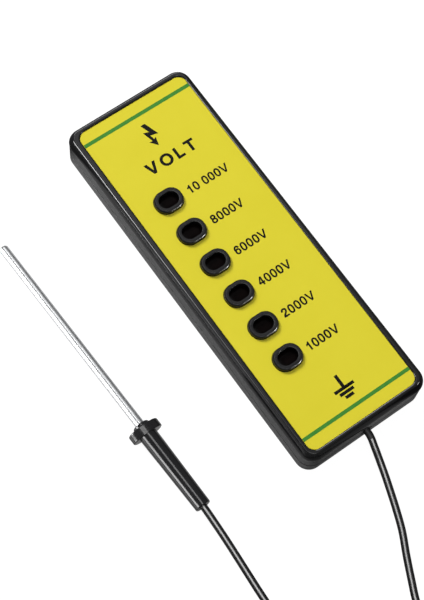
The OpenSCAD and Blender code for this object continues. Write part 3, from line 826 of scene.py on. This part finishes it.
def make_rivets():
    b = Build()
    for s in (-1, 1):
        prof = [(1.4, 73.9), (1.55, 74.05), (1.55, 74.7), (1.2, 74.72), (1.2, 77.95), (2.0, 78.01), (1.97, 78.11),
                (1.8, 78.26), (1.45, 78.37), (0.9, 78.43), (0.35, 78.45)]
        lathe(b, prof, (s * 10, 0, CONTACT_Z), (0, 1, 0), 32)
    return seal(b.object("contact_rivet_set"), [M["contact"]])


finish_piece(make_rivets(), "tester", "contact_steel", "contact_rivets")


def make_bush():
    b = Build()
    prof = [(1.52, -77.4), (2.2, -77.47), (2.42, -77.4), (2.5, -77.2), (2.5, -73.95), (3.5, -73.9), (3.5, -72.5),
            (1.45, -72.5)]
    f, e = lathe(b, prof, (EXIT[0], 0, EXIT[1]), (0, 1, 0), 36, False, False)
    b.bridge(e, f)
    return seal(b.object("lead_grommet"), [M["bush"]])


finish_piece(make_bush(), "tester", "bush_rubber", "lead_bush")


# ---------------------------------------------------------------- probe

probe_u = probe_a.cross(Vector((0, 0, 1))).normalized()
probe_w = probe_u.cross(probe_a)


def probe_ring(pts, d):
    return [tuple(probe_c + probe_a * d + probe_u * x + probe_w * y) for x, y in pts]


def make_rod():
    b = Build()
    prof = [(0.7, -12.0), (0.7, -18.0), (1.5, -18.0), (1.5, 2.4), (1.8, 2.45), (1.8, 4.0)]
    prof += [(1.8, 4.0 + 84.2 * k / 10) for k in range(1, 11)]
    prof += [(1.76, 88.38), (1.66, 88.62), (1.42, 88.9), (1.30, 89.0)]
    b.loft([probe_ring(circle(r, 48), d) for r, d in prof], None, True, True)
    return seal(b.object("ground_rod"), [M["rod"]])


rod = finish_piece(make_rod(), "probe", "probe_steel", "probe_rod")


def make_handle():
    b = Build()

    def rnd(r):
        return circle(r, 48)

    def grd(i):
        return oval(0.0, 0.0, 6.2 - i, 3.6 - 0.28 * i, 2.05, 48)

    secs = [(rnd(1.5), -24.2), (rnd(1.55), -24.15), (rnd(1.55), 1.2), (rnd(1.86), 1.2), (rnd(1.86), 2.75), (rnd(1.98), 2.9),
            (rnd(2.5), 2.9), (rnd(2.85), 2.82), (rnd(3.12), 2.62), (rnd(3.27), 2.35), (rnd(3.3), 2.05), (rnd(3.3), 1.85),
            (rnd(3.33), 1.7), (rnd(3.38), 1.64)]
    rim = [(1.9, 1.62), (0.9, 1.62), (0.45, 1.58), (0.2, 1.46), (0.05, 1.25), (0.0, 1.0), (0.0, -0.2), (0.0, -1.5),
           (0.03, -1.7), (0.12, -1.86), (0.28, -1.96), (0.5, -2.0), (1.9, -2.0)]
    secs += [(grd(i), d) for i, d in rim]
    secs += [(rnd(3.54), -2.03), (rnd(3.52), -2.2), (rnd(3.5), -2.5)]
    secs += [(rnd(3.5 - 0.45 * k / 8), -2.5 - 31.6 * k / 8) for k in range(1, 9)]
    secs += [(rnd(3.02), -34.28), (rnd(2.93), -34.47), (rnd(2.78), -34.57), (rnd(2.6), -34.6), (rnd(1.62), -34.6),
             (rnd(1.5), -34.45)]
    first, last = b.loft([probe_ring(p, d) for p, d in secs])
    b.bridge(last, first)
    return seal(b.object("probe_grip"), [M["handle"]])


grip = finish_piece(make_handle(), "probe", "handle_plastic", "probe_handle")


# ---------------------------------------------------------------- inner pieces keep their solids

for node, mat in (("neon_bulbs", "glass"), ("neon_electrodes", "tinned"), ("circuit_board", "board"),
                  ("divider_resistors", "resistor"), ("series_resistors", "series"), ("resistor_leads", "tinned"),
                  ("board_screws", "screw"), ("contact_strap", "brass"), ("contact_wire", "insulation"),
                  ("lead_clamp", "clamp"), ("clamp_screws", "screw"), ("lead_core_tester", "copper"),
                  ("crimp_sleeve", "brass"), ("lead_core_probe", "copper")):
    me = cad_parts[node].data
    me.materials.clear()
    me.materials.append(M[mat])


# ---------------------------------------------------------------- stage and light

def table(name, z, albedo, glow):
    me = bpy.data.meshes.new(name)
    me.from_pydata([(-6, -6, z), (6, -6, z), (6, 6, z), (-6, 6, z)], [], [(0, 1, 2, 3)])
    o = bpy.data.objects.new(name, me)
    scene.collection.objects.link(o)
    m = bpy.data.materials.new(name)
    m.use_nodes = True
    p = next(n for n in m.node_tree.nodes if n.type == "BSDF_PRINCIPLED")
    p.inputs["Base Color"].default_value = (albedo, albedo, albedo, 1)
    p.inputs["Roughness"].default_value = 0.9
    p.inputs["Specular IOR Level"].default_value = 0.0
    p.inputs["Emission Color"].default_value = (1, 1, 1, 1)
    p.inputs["Emission Strength"].default_value = glow
    me.materials.append(m)
    return o


# The paper that is seen, glowing evenly white, and the same paper as the glossy parts mirror it, with painted shade and
# painted light in its colour and glow: painted shade under the lead, painted light at the left
floor = table("floor", -0.0001, 0.12, 0.97)
floor.visible_glossy = False
floor.visible_diffuse = False
floor.visible_transmission = False
floor.visible_shadow = False
bounce = table("floor_bounce", -0.0002, 0.65, 0.0)
bounce.visible_camera = False


def grade(o, rows):
    """Paints light and shade into the floor: sets sockets of its material to products of ramps along X and Y; a ramp
    may start from another ramp.
    """
    nt = o.data.materials[0].node_tree
    tc = nt.nodes.new("ShaderNodeTexCoord")
    xyz = nt.nodes.new("ShaderNodeSeparateXYZ")
    nt.links.new(tc.outputs["Object"], xyz.inputs["Vector"])

    def ramp(axis, near, far, lo, hi):
        r = nt.nodes.new("ShaderNodeMapRange")
        for key, v in (("From Min", near), ("From Max", far), ("To Min", lo), ("To Max", hi)):
            if isinstance(v, tuple):
                nt.links.new(ramp(*v), r.inputs[key])
            else:
                r.inputs[key].default_value = v
        nt.links.new(xyz.outputs[axis], r.inputs["Value"])
        return r.outputs["Result"]

    for socket, ramps in rows:
        last = None
        for spec in ramps:
            out = ramp(*spec)
            if last:
                m = nt.nodes.new("ShaderNodeMath")
                m.operation = "MULTIPLY"
                nt.links.new(last, m.inputs[0])
                nt.links.new(out, m.inputs[1])
                out = m.outputs["Value"]
            last = out
        nt.links.new(last, next(n for n in nt.nodes if n.type == "BSDF_PRINCIPLED").inputs[socket])


# Painted shade: the mirrored floor's colour and glow drop to 0.12 of their value beyond the body's contact end and
# right side.
painted_shade_far_sides = (("Y", 0.072, 0.078, 1.0, 0.12), ("X", 0.022, 0.028, 1.0, 0.12))
# Painted shade and painted light in the mirrored floor: darker and dimmer in front of the bottom end, where the lead
# lies; glowing more towards the back and the far left; and, in front of the bottom end, glowing more right of the lead
# exit than left of it.
grade(bounce, (("Base Color", (("Y", -0.102, -0.078, 0.10, 0.35), *painted_shade_far_sides)),
               ("Emission Strength", (("Y", -0.102, -0.078, 0.5, 1.0), ("Y", -0.078, 0.06, 0.5, 1.0),
                                      ("X", -0.105, -0.072, 0.85, 0.34),
                                      ("Y", -0.0795, -0.0785, ("X", -0.018, 0.002, 0.55, 1.9), 1.0), *painted_shade_far_sides))))

world = bpy.data.worlds.new("world")
world.use_nodes = True
bg = next(n for n in world.node_tree.nodes if n.type == "BACKGROUND")
bg.inputs["Color"].default_value = (1, 1, 1, 1)
bg.inputs["Strength"].default_value = 0.22
scene.world = world


def area(name, place, aim, size, radiance, diffuse=True, glossy=True, only=(), without=()):
    """A soft panel of a given brightness, which may be kept to some pieces or off some pieces."""
    d = bpy.data.lights.new(name, "AREA")
    d.shape = "RECTANGLE"
    d.size, d.size_y = size
    d.energy = radiance * math.pi * size[0] * size[1]
    o = bpy.data.objects.new(name, d)
    scene.collection.objects.link(o)
    o.location = place
    o.rotation_mode = "QUATERNION"
    o.rotation_quaternion = (Vector(aim) - Vector(place)).to_track_quat("-Z", "Y")
    o.visible_diffuse = diffuse
    o.visible_glossy = glossy
    if only or without:
        c = bpy.data.collections.new(name + "_receivers")
        for piece in (*only, *without):
            c.objects.link(piece)
        if without:
            for entry in c.collection_objects:
                entry.light_linking.link_state = "EXCLUDE"
        o.light_linking.receiver_collection = c
    return o


area("key", (-0.36, 2.75, 2.15), (0.0, 0.0, 0.0), (1.05, 1.05), 32.5, glossy=False)
area("overhead", (-0.02, 0.25, 1.0), (-0.02, 0.25, 0.0), (0.14, 1.5), 3.8, without=(lead,))
area("overhead_far", (0.42, 0.66, 1.0), (0.42, 0.66, 0.0), (0.62, 0.76), 0.75, without=(lead, grip))
area("overhead_near", (0.42, -0.12, 1.0), (0.42, -0.12, 0.0), (0.62, 0.80), 0.24, without=(lead, grip))
area("left_near", (-0.95, 0.205, 0.33), (0.0, 0.205, 0.0), (0.13, 0.42), 4.5, diffuse=False, without=(lead, collars))
area("left_mid", (-0.95, 0.32, 0.33), (0.0, 0.32, 0.0), (0.10, 0.42), 13.0, diffuse=False, without=(lead, collars))
area("left_far", (-0.95, 0.66, 0.33), (0.0, 0.66, 0.0), (0.58, 0.42), 27.0, diffuse=False, without=(lead, collars))
area("back_panel", (0.28, 1.05, 0.42), (0.0, 0.0, 0.0), (0.9, 0.4), 8.0, diffuse=False,
     without=(lead, collars, grip, rod))
area("corner_glint", (0.58, -0.76, 0.30), (0.0, 0.0, 0.02), (0.3, 0.3), 14.0, diffuse=False, only=(front,))
area("collar_over", (0.42, 0.27, 1.0), (0.42, 0.27, 0.0), (0.62, 1.6), 0.4, diffuse=False, only=(collars,))
area("collar_glint", (0.49, -0.83, 0.28), (0.0, 0.0, 0.02), (0.32, 0.26), 90.0, diffuse=False, only=(collars,))
area("probe_strip", (-0.95, 0.10, 0.33), (0.0, 0.10, 0.0), (0.60, 0.40), 12.5, diffuse=False, only=(grip, rod))
area("probe_overhead", (-0.02, 0.25, 1.0), (-0.02, 0.25, 0.0), (0.26, 1.5), 7.0, diffuse=False, only=(grip,))
area("grip_floor", (-0.14, -0.02, 0.0004), (-0.14, -0.02, 1.0), (0.12, 0.26), 1.2, diffuse=False,
     only=(grip,)).visible_camera = False
area("grip_face", (-0.064, -0.0355, 0.0004), (-0.064, -0.0355, 1.0), (0.016, 0.003), 0.25, diffuse=False,
     only=(grip,)).visible_camera = False
area("lead_panel", (-0.28, -0.25, 1.0), (-0.28, -0.25, 0.0), (0.72, 1.4), 20.0, diffuse=False, only=(lead,))
